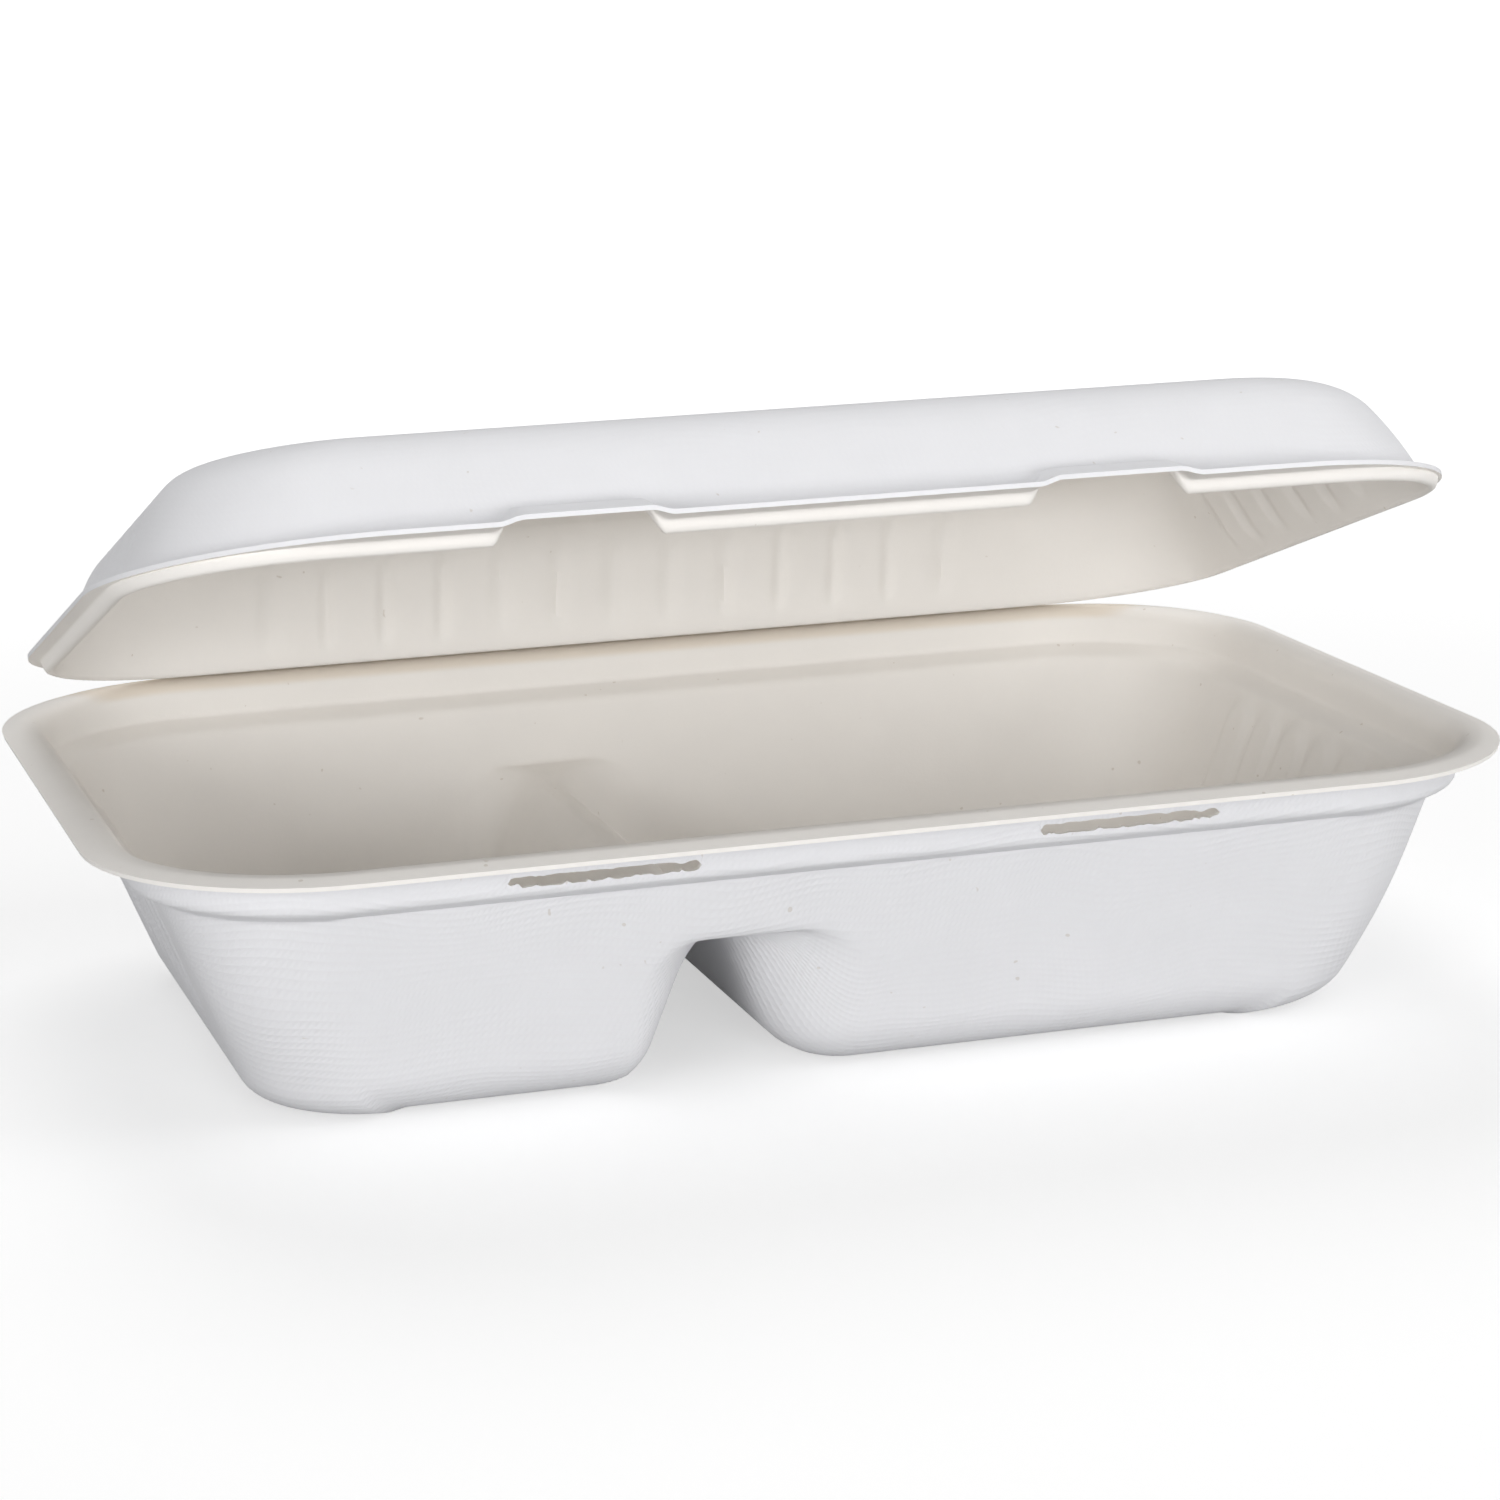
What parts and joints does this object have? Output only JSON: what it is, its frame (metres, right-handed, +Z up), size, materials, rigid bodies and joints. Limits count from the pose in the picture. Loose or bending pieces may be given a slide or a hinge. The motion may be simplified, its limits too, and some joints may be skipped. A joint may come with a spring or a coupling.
{
  "type": "bagasse meal box",
  "caption": "Hinged meal box moulded from plant pulp, with a divided tray, punched latch slots and a shallow domed lid that stands half open.",
  "frame": {"origin": "on the table under the middle of the rim", "axes": "+X along the rim's length to the right, towards the large compartment; -Y towards the front, where the slots and tabs are; +Z up"},
  "size_m": [0.25, 0.165, 0.1124],
  "materials": {
    "tray_pulp": "matt moulded pulp, with a woven screen print outside and a smooth face inside",
    "lid_pulp": "matt moulded pulp, with a woven screen print outside and a smooth face inside"
  },
  "bodies": {
    "tray": {"tray": "tray_pulp"},
    "lid": {"lid": "lid_pulp"}
  },
  "joints": [
    {"name": "lid_fold", "type": "hinge", "parent": "tray", "child": "lid", "pos_m": [0, 0.0825, 0.04955], "axis": [-1, 0, 0], "range_deg": [-18.4, 161.6]}
  ]
}
